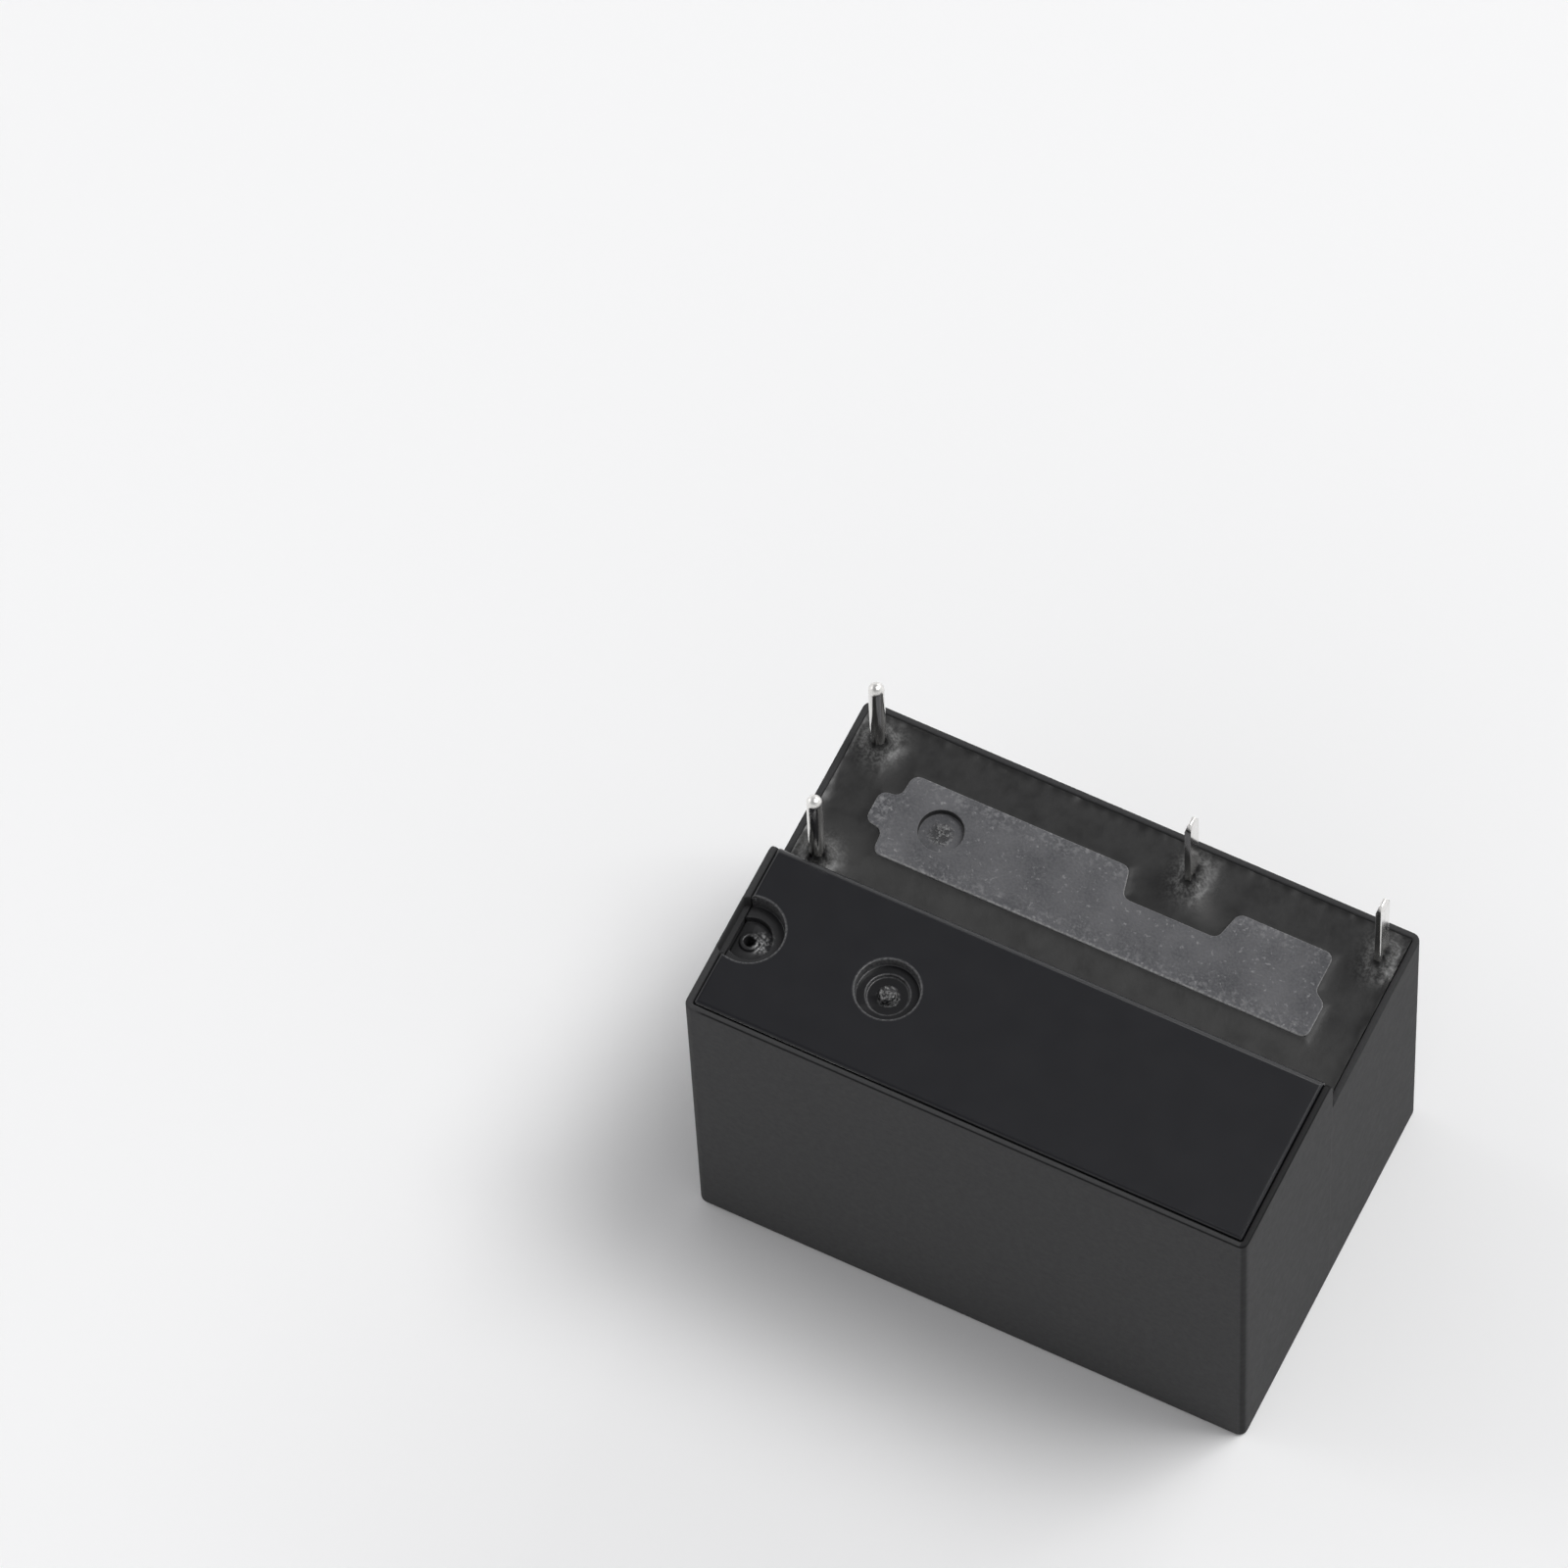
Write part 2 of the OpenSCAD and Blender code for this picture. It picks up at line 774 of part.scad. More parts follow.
// Spool with square flanges and a lug under the deck that holds both coil pins
flange_r = 0.8;
module bobbin() {
    lug_x = coil_x - lug_half;
    color([0.86, 0.83, 0.74])
        difference() {
            union() {
                bar(bobbin_x0, bobbin_x1, coil_y, coil_z, tube_r);
                for (x = [bobbin_x0, bobbin_x1 - flange_t])
                    translate([x, coil_y, coil_z])
                        rotate([90, 0, 90])
                            linear_extrude(flange_t)
                                polygon(rounded([
                                    [-flange_half, -flange_half],
                                    [flange_half, -flange_half],
                                    [flange_half, flange_half],
                                    [-flange_half, flange_half]
                                ], flange_r));
                block([lug_x, front_y - lug_half, lug_bottom],
                    [bobbin_x0 + flange_t, rear_y + lug_half, lug_top]);
                block([bobbin_x0, coil_y + leg_half + web_gap, coil_z],
                    [bobbin_x0 + flange_t, coil_back, lug_top]);
                block([bobbin_x0, coil_y + leg_half + web_gap, lug_bottom],
                    [bobbin_x0 + flange_t, front_y, lug_top]);
            }
            bar(left, right, coil_y, coil_z, core_d / 2 + fit);
            for (y = [front_y, rear_y])
                translate([coil_x, y, lug_bottom])
                    cube([square_w + fit, square_w + fit, 3 * lug_h], center = true);
        }
}

// A sleeve along the bobbin between its flanges
module sleeve(r0, r1) {
    x0 = bobbin_x0 + flange_t + fit;
    x1 = bobbin_x1 - flange_t - fit;
    difference() {
        bar(x0, x1, coil_y, coil_z, r1);
        bar(left, right, coil_y, coil_z, r0);
    }
}

module winding() {
    color([0.72, 0.36, 0.16])
        sleeve(tube_r + fit, coil_d / 2 - tape_t - fit / 2);
}

module coil_tape() {
    color([0.93, 0.78, 0.3])
        sleeve(coil_d / 2 - tape_t, coil_d / 2);
}

// Iron core: pole head on the right, turned-down end riveted into the yoke on the left
module core() {
    color([0.62, 0.62, 0.64])
        union() {
            bar(yoke_x, bobbin_x0, coil_y, coil_z, neck_d / 2);
            bar(yoke_x + yoke_t + fit / 2, bobbin_x1 + fit, coil_y, coil_z, core_d / 2);
            bar(bobbin_x1 + fit / 2, pole_x, coil_y, coil_z, pole_d / 2);
        }
}

// L-shaped iron yoke, bent from sheet, with two stakes that hold the hinge spring
module yoke() {
    leg = yoke_top - coil_z + core_d / 2 + leg_below_core;
    color([0.6, 0.6, 0.62])
        difference() {
            union() {
                translate([yoke_x, coil_y + leg_half, yoke_top])
                    rotate([90, 0, 0])
                        linear_extrude(2 * leg_half)
                            mirror([1, 0])
                                bend(pole_x - yoke_x, leg, yoke_t, fit);
                block([bobbin_x0 + flange_t + lug_gap, coil_y - yoke_half, yoke_bottom],
                    [pole_x, coil_y + yoke_half, yoke_top]);
                for (x = stake_x)
                    translate([x, coil_y, yoke_bottom + yoke_t / 2])
                        cylinder(r = stake_r, h = stake_h + yoke_t / 2);
            }
            bar(left, 0, coil_y, coil_z, neck_d / 2 + fit);
        }
}

// Places what rides on the tipped armature, drawn closed with the hinge at the origin
module tipped() {
    translate([hinge_x, coil_y, hinge_z])
        rotate([0, -open_angle, 0])
            children();
}

// Iron plate with a narrow tongue at its free end
module armature_plate(play) {
    neck_z = arm_z + collar_h + neck_gap - hinge_z;
    plate_yz([
        [-armature_half, armature_rise],
        [armature_half, armature_rise],
        [armature_half, neck_z + neck_slope],
        [tongue_half + play, neck_z],
        [tongue_half + play, tongue_z - play - hinge_z],
        [-tongue_half - play, tongue_z - play - hinge_z],
        [-tongue_half - play, neck_z],
        [-armature_half, neck_z + neck_slope]
    ], -play, armature_t + 2 * play);
}

module armature() {
    color([0.58, 0.58, 0.6])
        tipped()
            armature_plate(0);
}

// Thin leaf over the end of the yoke that keeps the armature on its edge
module hinge_spring() {
    leg_x = hinge_x + armature_t + spring_play + spring_t;
    color([0.76, 0.62, 0.38])
        difference() {
            translate([leg_x, coil_y + spring_half, yoke_top + fit + spring_t])
                rotate([90, 0, 0])
                    linear_extrude(2 * spring_half)
                        bend(leg_x - pole_x + spring_reach, spring_leg, spring_t, spring_t);
            for (x = stake_x)
                translate([x, coil_y, 0])
                    cylinder(r = stake_r + fit, h = case_h);
        }
}

// Moulded actuator: a collar on the armature's tongue, an arm and a finger behind the leaf
arm_side = 0.3;
heel_side = 0.5;
arm_overlap = 0.4;
elbow_back = 2.6;
elbow_front = 3.2;
toe_len = 0.9;
module card() {
    arm_x = tongue_x - arm_side;
    arm_y = coil_y + collar_half - arm_overlap;
    heel_x = tongue_x + armature_t + heel_side;
    toe_x = finger_x + finger_t;
    color([0.88, 0.86, 0.8])
        union() {
            tipped()
                difference() {
                    block([-collar_t, -collar_half, arm_z - hinge_z],
                        [armature_t + collar_t, collar_half, arm_z + collar_h - hinge_z]);
                    armature_plate(fit);
                }
            translate([0, 0, arm_z])
                linear_extrude(arm_h)
                    polygon([
                        [arm_x, arm_y],
                        [heel_x, arm_y],
                        [heel_x, contact_y - elbow_back],
                        [toe_x, contact_y - finger_half],
                        [toe_x, contact_y + finger_half],
                        [finger_x - toe_len, contact_y + finger_half],
                        [finger_x - toe_len, contact_y - finger_half],
                        [arm_x, contact_y - elbow_front]
                    ]);
            block([finger_x, contact_y - finger_half, arm_z],
                [toe_x, contact_y + finger_half, leaf_z + finger_rise]);
        }
}

// Coil wire wrapped on a pin's post, then led behind the flange onto the coil
lead_gap = 0.08;
lead_out = 0.2;
lead_rest = 0.8;
module coil_lead(y, turn, drop) {
    r = wire_d / 2;
    z = lug_bottom - drop;
    pitch = wire_d + wrap_gap;
    rest_y = coil_y + sqrt(pow(coil_d / 2, 2) - pow(z - coil_z, 2)) + r + fit;
    pass_y = coil_back + r + lead_gap;
    post = [for (i = [-wraps * wrap_steps : 0])
        let (a = turn * 360 * i / wrap_steps)
        [coil_x + wrap_r * cos(a), y + wrap_r * sin(a), z - pitch * i / wrap_steps]];
    led = [
        [bobbin_x0 - lead_out, pass_y + lead_gap, z],
        [bobbin_x0 + flange_t + lead_out, pass_y, z],
        [bobbin_x0 + flange_t + lead_rest, rest_y, z]
    ];
    color([0.75, 0.4, 0.18])
        wire(concat(post, led), r);
}

module coil_lead_rear() {
    coil_lead(rear_y, -1, rear_drop);
}

module coil_lead_front() {
    coil_lead(front_y, 1, front_drop);
}

cover();
base();
sealing_resin();
coil_terminal_rear();
coil_terminal_front();
fixed_terminal();
common_terminal();
bobbin();
winding();
coil_tape();
core();
yoke();
armature();
hinge_spring();
card();
moving_spring();
moving_contact();
fixed_contact();
spring_rivets();
coil_lead_rear();
coil_lead_front();
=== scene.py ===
import math

import bpy
import numpy as np
from mathutils import Matrix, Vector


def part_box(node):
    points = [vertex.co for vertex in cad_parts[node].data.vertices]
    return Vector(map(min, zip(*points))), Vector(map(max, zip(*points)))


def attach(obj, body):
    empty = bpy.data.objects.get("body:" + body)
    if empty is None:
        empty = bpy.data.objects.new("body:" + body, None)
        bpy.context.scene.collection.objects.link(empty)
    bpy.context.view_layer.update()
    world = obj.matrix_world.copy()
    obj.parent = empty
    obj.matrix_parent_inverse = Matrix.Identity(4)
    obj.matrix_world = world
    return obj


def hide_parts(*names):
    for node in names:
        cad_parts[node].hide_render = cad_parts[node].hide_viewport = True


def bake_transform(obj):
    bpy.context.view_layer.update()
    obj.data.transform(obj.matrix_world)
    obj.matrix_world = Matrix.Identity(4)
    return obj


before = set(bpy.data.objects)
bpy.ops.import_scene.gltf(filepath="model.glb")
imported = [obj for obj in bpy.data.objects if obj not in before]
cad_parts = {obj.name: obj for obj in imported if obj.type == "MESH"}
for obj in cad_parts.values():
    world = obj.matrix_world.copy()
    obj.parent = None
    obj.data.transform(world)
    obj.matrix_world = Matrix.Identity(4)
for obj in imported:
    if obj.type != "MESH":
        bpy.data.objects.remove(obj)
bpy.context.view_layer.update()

# Bobbin: the spool of the coil, with two end flanges and a lug that holds both coil pins.
# Moulded in natural nylon, cream and slightly cloudy; the rest of the coil is built up on it.
mm = 0.001


def skin(name, colour, rough, metal=0.0):
    """A Principled material; gives back the material, its node tree and its shader."""
    made = bpy.data.materials.new(name)
    made.use_nodes = True
    shader = made.node_tree.nodes["Principled BSDF"]
    shader.inputs["Base Color"].default_value = (*colour, 1)
    shader.inputs["Roughness"].default_value = rough
    shader.inputs["Metallic"].default_value = metal
    return made, made.node_tree, shader


def noise(tree, size, detail, stretch=(1, 1, 1)):
    """Noise in object space with features of about the given size in metres."""
    place = tree.nodes.new("ShaderNodeTexCoord")
    scale = tree.nodes.new("ShaderNodeMapping")
    scale.inputs["Scale"].default_value = stretch
    field = tree.nodes.new("ShaderNodeTexNoise")
    field.inputs["Scale"].default_value = 1 / size
    field.inputs["Detail"].default_value = detail
    tree.links.new(place.outputs["Object"], scale.inputs["Vector"])
    tree.links.new(scale.outputs["Vector"], field.inputs["Vector"])
    return field.outputs["Fac"]


def ramp(tree, value, low, high, out_low, out_high):
    """Value from low to high turned into out_low to out_high, held at both ends."""
    node = tree.nodes.new("ShaderNodeMapRange")
    for key, number in zip(("From Min", "From Max", "To Min", "To Max"), (low, high, out_low, out_high)):
        node.inputs[key].default_value = number
    tree.links.new(value, node.inputs["Value"])
    return node.outputs["Result"]


def patches(tree, size, detail, out_low=0, out_high=1, band=(0.3, 0.7), stretch=(1, 1, 1)):
    """Noise with the band of its values spread to run from out_low to out_high."""
    return ramp(tree, noise(tree, size, detail, stretch), *band, out_low, out_high)


def mix(tree, value, first, second):
    """Colour between first and second by value; either may be a colour or an output. Inputs 6 and 7
    of the Mix node are its two colours, and output 2 is the colour between them."""
    node = tree.nodes.new("ShaderNodeMix")
    node.data_type = "RGBA"
    tree.links.new(value, node.inputs["Factor"])
    for socket, colour in ((node.inputs[6], first), (node.inputs[7], second)):
        if isinstance(colour, tuple):
            socket.default_value = (*colour, 1)
        else:
            tree.links.new(colour, socket)
    return node.outputs[2]


def feed(shader, socket, value):
    """Links value to one of the shader's sockets."""
    shader.id_data.links.new(value, shader.inputs[socket])


def relief(shader, value, height):
    """Bump of the given height in metres from value."""
    node = shader.id_data.nodes.new("ShaderNodeBump")
    node.inputs["Distance"].default_value = height
    shader.id_data.links.new(value, node.inputs["Height"])
    feed(shader, "Normal", node.outputs["Normal"])


def dress(name, material):
    """Gives a node of the frame its material."""
    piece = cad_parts[name]
    piece.data.materials.clear()
    piece.data.materials.append(material)
    return piece


def even_shading(piece, keep_sharp=False):
    """Lets the large faces lead the shading, so that they stay flat beside rounded edges."""
    even = piece.modifiers.new("even", "WEIGHTED_NORMAL")
    even.weight = 80
    even.keep_sharp = keep_sharp


def break_edges(piece, width):
    """Welds the frame's split corners and rounds every sharp edge by width."""
    weld = piece.modifiers.new("weld", "WELD")
    weld.merge_threshold = 0.0005 * mm
    flat = piece.modifiers.new("flat", "DECIMATE")
    flat.decimate_type = "DISSOLVE"
    flat.angle_limit = math.radians(0.5)
    edge = piece.modifiers.new("edge", "BEVEL")
    edge.width = width
    edge.segments = 2
    edge.limit_method = "ANGLE"
    edge.angle_limit = math.radians(40)
    edge.use_clamp_overlap = False
    even_shading(piece)
    piece.data.polygons.foreach_set("use_smooth", np.ones(len(piece.data.polygons), dtype=bool))


nylon, tree, shader = skin("bobbin_plastic", (0.72, 0.68, 0.56), 0.5)
feed(shader, "Base Color", mix(tree, patches(tree, 2 * mm, 4), (0.66, 0.62, 0.5), (0.75, 0.71, 0.6)))
relief(shader, noise(tree, 0.12 * mm, 2), 0.004 * mm)
break_edges(dress("bobbin", nylon), 0.06 * mm)

# Winding: enamelled copper wire, wound on the bobbin in close layers.
# Each of its two leads runs out to a coil pin and is wrapped round the pin's post.
wire_d = 0.16 * mm
bands_per_unit = 3.2
copper, tree, shader = skin("copper_wire", (0.55, 0.2, 0.07), 0.3, 0.9)
place = tree.nodes.new("ShaderNodeTexCoord")
turns = tree.nodes.new("ShaderNodeTexWave")
turns.bands_direction = "X"
turns.inputs["Scale"].default_value = 1 / wire_d / bands_per_unit
tree.links.new(place.outputs["Object"], turns.inputs["Vector"])
# The wire is painted darker where the bump is low, in the grooves between turns: painted shade.
feed(shader, "Base Color", mix(tree, turns.outputs["Fac"], (0.3, 0.09, 0.03), (0.62, 0.24, 0.09)))
relief(shader, turns.outputs["Fac"], 0.05 * mm)
for name in ("winding", "coil_lead_rear", "coil_lead_front"):
    dress(name, copper)

# Tape: one turn of amber polyester film, stuck over the winding.
# It holds the turns and insulates them; its tone drifts a little along the coil.
tape, tree, shader = skin("tape", (0.8, 0.58, 0.12), 0.25)
drawn = patches(tree, 1.5 * mm, 3, stretch=(0.2, 1, 1))
feed(shader, "Base Color", mix(tree, drawn, (0.74, 0.5, 0.08), (0.83, 0.62, 0.16)))
dress("coil_tape", tape)

# Core and yoke: plated soft iron, rolled and turned, with fine lines along the length.
# The core runs through the bobbin, and its end is riveted in the short leg of the bent yoke.
iron, tree, shader = skin("soft_iron", (0.42, 0.42, 0.43), 0.35, 1.0)
lines = noise(tree, 0.1 * mm, 3, (0.1, 1, 1))
feed(shader, "Roughness", ramp(tree, lines, 0.3, 0.7, 0.28, 0.45))
feed(shader, "Base Color", mix(tree, lines, (0.36, 0.36, 0.37), (0.5, 0.5, 0.51)))
dress("core", iron)
break_edges(dress("yoke", iron), 0.05 * mm)

# Armature: an iron plate, stamped and plated like the yoke.
# It tips on the end of the yoke's long leg until it meets the head of the core.
break_edges(dress("armature", iron), 0.05 * mm)

# Hinge spring: a thin leaf of rolled spring bronze, bent over the end of the yoke.
# It is staked on the yoke and keeps the armature on its edge.
bronze, tree, shader = skin("spring_bronze", (0.55, 0.3, 0.12), 0.3, 1.0)
lines = noise(tree, 0.1 * mm, 3, (1, 1, 0.1))
feed(shader, "Roughness", ramp(tree, lines, 0.3, 0.7, 0.22, 0.4))
feed(shader, "Base Color", mix(tree, lines, (0.48, 0.25, 0.1), (0.6, 0.34, 0.15)))
dress("hinge_spring", bronze)

# Card: the link between armature and contact leaf, moulded in pale plastic.
# It is pushed on the armature's tongue, and a slot in its far end pulls the tip of the leaf.
card_skin, tree, shader = skin("card_plastic", (0.75, 0.72, 0.64), 0.45)
feed(shader, "Base Color", mix(tree, patches(tree, 1.5 * mm, 4), (0.7, 0.67, 0.58), (0.78, 0.75, 0.68)))
break_edges(dress("card", card_skin), 0.05 * mm)

# Pins: round coil pins of drawn wire and flat contact pins of stamped strip, all tin plated.
# They stand through holes in the base and are locked there by the resin.
coil_r = 0.3 * mm
flat_t, flat_w, flat_r = 0.25 * mm, 0.75 * mm, 0.05 * mm


def middle(name):
    """Centre of a node's box at rest."""
    low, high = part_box(name)
    return (np.array(low) + np.array(high)) / 2


def split(tree, kind="Object"):
    """X, Y and Z outputs of a point's place on the piece, or of another kind, such as its Normal."""
    source = tree.nodes.new("ShaderNodeTexCoord")
    parts = tree.nodes.new("ShaderNodeSeparateXYZ")
    tree.links.new(source.outputs[kind], parts.inputs["Vector"])
    return parts.outputs


coil_x, rear_y = middle("coil_terminal_rear")[:2]
front_y = middle("coil_terminal_front")[1]
common_x = middle("common_terminal")[0]
fixed_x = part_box("fixed_terminal")[0][0] + flat_t / 2
tip_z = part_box("coil_terminal_rear")[1][2]
tin, tree, shader = skin("tinned_pin", (0.8, 0.79, 0.77), 0.15, 1.0)
drawn = patches(tree, 0.3 * mm, 2, stretch=(1, 1, 0.1))
feed(shader, "Base Color", mix(tree, drawn, (0.76, 0.75, 0.73), (0.84, 0.83, 0.81)))
side_rough = patches(tree, 0.3 * mm, 2, 0.11, 0.19, stretch=(1, 1, 0.2))
cut_end = ramp(tree, split(tree)["Z"], tip_z - 0.3 * mm, tip_z - 0.15 * mm, 0, 1)
feed(shader, "Roughness", mix(tree, cut_end, side_rough, (0.42, 0.42, 0.42)))
for name in ("coil_terminal_rear", "coil_terminal_front", "fixed_terminal", "common_terminal"):
    break_edges(dress(name, tin), 0.04 * mm)

# Contacts: buttons of silver alloy, one riveted in the fixed terminal and one in the leaf.
# The two rivets that clamp the leaf on the common terminal have the same pale finish.
silver, tree, shader = skin("contact_silver", (0.75, 0.74, 0.71), 0.3, 1.0)
feed(shader, "Base Color", mix(tree, patches(tree, 0.4 * mm, 4), (0.66, 0.64, 0.6), (0.8, 0.79, 0.76)))
for name in ("moving_contact", "fixed_contact", "spring_rivets"):
    break_edges(dress(name, silver), 0.03 * mm)

# Contact leaf: spring bronze strip, stamped with a narrow tip, a pad for the button and a waist.
# Its upper end is clamped by the rivets, and the waist bends until the buttons meet.
# It is a flat plate drawn row by row.
leaf_low, leaf_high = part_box("moving_spring")
leaf_y = middle("moving_spring")[1]
clamp_z, button_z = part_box("common_terminal")[0][2], middle("moving_contact")[2]
rivet_head_r, rivet_hole_r, button_hole_r = 0.55 * mm, 0.33 * mm, 0.53 * mm
rivets_low, rivets_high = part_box("spring_rivets")
holes = ((rivets_low[2] + rivet_head_r, rivet_hole_r), (rivets_high[2] - rivet_head_r, rivet_hole_r),
         (button_z, button_hole_r))
heights_and_half_widths = np.array([(2.5, 0.75), (3.1, 0.75), (3.5, 1.1), (5.3, 1.1),
                                    (5.9, 0.75), (7.7, 0.75), (8.3, 1.1), (12.0, 1.1)]) * mm


def leaf_plate():
    """Flat plate in rows up the leaf. Each row runs from its lower to its upper half width, and is
    open over a hole's chord, y = sqrt(r^2 - (z - centre)^2); both faces are joined by walls."""
    rows = [np.linspace(leaf_low[2], leaf_high[2], 40), heights_and_half_widths[1:-1, 0]]
    rows += [at + r * np.cos(np.linspace(0, np.pi, 15)) for at, r in holes]
    z = np.unique(np.round(np.concatenate(rows), 8))
    outer = np.interp(z, *heights_and_half_widths.T)
    inner = np.zeros(z.shape)
    for at, r in holes:
        inner = np.maximum(inner, np.sqrt(np.maximum(r * r - (z - at) ** 2, 0)))
    inner[inner < 0.002 * mm] = 0
    y = leaf_y + np.stack([-outer, -inner, inner, outer], axis=1)
    points = np.stack([np.stack([np.full(y.shape, x), y, np.tile(z[:, None], 4)], axis=-1)
                       for x in (leaf_low[0], leaf_high[0])])
    number = np.arange(points.size // 3).reshape(2, len(z), 4)
    number[:, inner == 0, 2] = number[:, inner == 0, 1]
    low, high = number[:, :-1], number[:, 1:]
    first, last = number[:, :1], number[:, -1:]
    beside_hole = (inner[:-1] > 0) | (inner[1:] > 0)
    every = slice(None)
    walls = []
    for c in (0, 2):
        walls.append([low[1, :, c], low[1, :, c + 1], high[1, :, c + 1], high[1, :, c]])
        walls.append([low[0, :, c + 1], low[0, :, c], high[0, :, c], high[0, :, c + 1]])
        walls.append([first[1, :, c + 1], first[1, :, c], first[0, :, c], first[0, :, c + 1]])
        walls.append([last[1, :, c], last[1, :, c + 1], last[0, :, c + 1], last[0, :, c]])
    for c, part in ((0, every), (2, beside_hole)):
        walls.append([low[0, part, c], low[1, part, c], high[1, part, c], high[0, part, c]])
    for c, part in ((1, beside_hole), (3, every)):
        walls.append([low[1, part, c], low[0, part, c], high[0, part, c], high[1, part, c]])
    quads = np.concatenate([np.stack(wall, axis=1) for wall in walls])
    used, quads = np.unique(quads, return_inverse=True)
    return points.reshape(-1, 3)[used], quads.reshape(-1, 4).tolist()


def solid(name, points, faces, finish, slot):
    """A mesh object at the origin from whole arrays, smooth except at its real edges."""
    mesh = bpy.data.meshes.new(name)
    mesh.from_pydata(points.reshape(-1, 3).tolist(), [], faces)
    mesh.polygons.foreach_set("use_smooth", np.ones(len(mesh.polygons), dtype=bool))
    mesh.set_sharp_from_angle(angle=math.radians(38))
    mesh.materials.append(finish)
    piece = bpy.data.objects.new(name, mesh)
    bpy.context.scene.collection.objects.link(piece)
    return piece


leaf = solid("contact_leaf", *leaf_plate(), bronze, "spring_bronze")
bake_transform(leaf)
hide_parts("moving_spring")

# Base: the stepped moulding that closes the case, glossy blue-black on the raised strip.
# The island that stands out of the resin keeps a dry, grey, dusty skin from the potting.
# It sits on a ledge in the cover; a solid from the frame, and only its edges are broken here.
half_l, half_w, strip_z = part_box("cover")[1]
resin_fit = 0.015 * mm
step_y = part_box("sealing_resin")[0][1] - resin_fit
marks_y = 3.78 * mm - half_w
gate, gate_r, gate_well_r = (6.41 * mm - half_l, marks_y), 1.2 * mm, 0.8 * mm
vent, vent_r = (0.81 * mm - half_l, marks_y), 1.325 * mm
ejector, ejector_r = (coil_x + 3.65 * mm, step_y + 3.94 * mm), 0.85 * mm
island = np.array([
    (-8.3, 1.92), (9.2, 1.92), (9.2, 3.47), (8.7, 3.82), (8.7, 5.45), (4.85, 5.45), (4.55, 4.2),
    (0.75, 4.2), (0.45, 5.45), (-8.3, 5.45), (-8.37, 4.41), (-9.12, 4.34), (-9.12, 3.0),
    (-8.37, 2.93)]) * mm
island_left, island_front = island.min(axis=0)
island_back = island[:, 1].max()


def combine(tree, operation, first, second=0):
    """Two values through one Math node; second may be a number."""
    node = tree.nodes.new("ShaderNodeMath")
    node.operation = operation
    tree.links.new(first, node.inputs[0])
    if isinstance(second, (int, float)):
        node.inputs[1].default_value = second
    else:
        tree.links.new(second, node.inputs[1])
    return node.outputs["Value"]


def spot(tree, x, y, inner, outer):
    """1 within inner of a point in plan, falling to 0 at outer."""
    place = tree.nodes.new("ShaderNodeTexCoord")
    flat = tree.nodes.new("ShaderNodeVectorMath")
    flat.operation = "MULTIPLY"
    flat.inputs[1].default_value = (1, 1, 0)
    away = tree.nodes.new("ShaderNodeVectorMath")
    away.operation = "DISTANCE"
    away.inputs[1].default_value = (x, y, 0)
    tree.links.new(place.outputs["Object"], flat.inputs[0])
    tree.links.new(flat.outputs["Vector"], away.inputs[0])
    return ramp(tree, away.outputs["Value"], inner, outer, 1, 0)


def ring(tree, x, y, radius, width):
    """1 on a circle's line of the given width in plan, 0 off it."""
    outer = spot(tree, x, y, radius + 0.3 * width, radius + 0.7 * width)
    return combine(tree, "SUBTRACT", outer, spot(tree, x, y, radius - 0.7 * width, radius - 0.3 * width))


base_skin, tree, shader = skin("base_plastic", (0.011, 0.0112, 0.014), 0.3)
at, up = split(tree), split(tree, "Normal")["Z"]
on_island = ramp(tree, at["Y"], step_y + 0.3 * mm, step_y + 0.32 * mm, 0, 1)
tilt = ramp(tree, up, 0.6, 0.97, 1, 0)
cloud = patches(tree, 1.6 * mm, 5)
grain = patches(tree, 0.1 * mm, 4)
crumb = patches(tree, 0.12 * mm, 3, band=(0.45, 0.65))

# The strip is lighter grey on its rounded edges and in thin rings round the recess rims: wear and
# painted highlight. Dust lies in the vent.
edge = combine(tree, "MULTIPLY", tilt, ramp(tree, up, 0.1, 0.4, 0, 1))
wear_and_highlight = combine(tree, "MULTIPLY", edge, 0.12)
for centre, radius, width in ((gate, gate_well_r, 0.11 * mm), (gate, gate_r + 0.03 * mm, 0.1 * mm),
                              (vent, vent_r + 0.03 * mm, 0.1 * mm)):
    wear_and_highlight = combine(tree, "MAXIMUM", wear_and_highlight, ring(tree, *centre, radius, width))
wear_and_highlight = combine(tree, "MULTIPLY", wear_and_highlight, ramp(tree, grain, 0.1, 0.8, 0.3, 1))
in_gate = spot(tree, *gate, gate_r - 0.06 * mm, gate_r - 0.04 * mm)
in_vent = spot(tree, *vent, vent_r - 0.065 * mm, vent_r - 0.045 * mm)
dust = spot(tree, vent[0] + 0.42 * mm, vent[1] + 0.15 * mm, 0.25 * mm, 0.52 * mm)
dust = combine(tree, "MULTIPLY", dust, crumb)
gloss = mix(tree, cloud, (0.0058, 0.006, 0.008), (0.0066, 0.0068, 0.0088))
# Inside the gate recess the strip is painted darker: painted shade.
gloss = mix(tree, in_gate, gloss, (0.004, 0.004, 0.005))
gloss = mix(tree, in_vent, gloss, (0.026, 0.026, 0.027))
gloss = mix(tree, dust, gloss, (0.35, 0.35, 0.35))
# Lighter grey on the rounded edges and rim rings: wear and painted highlight.
gloss = mix(tree, wear_and_highlight, gloss, (0.085, 0.085, 0.087))
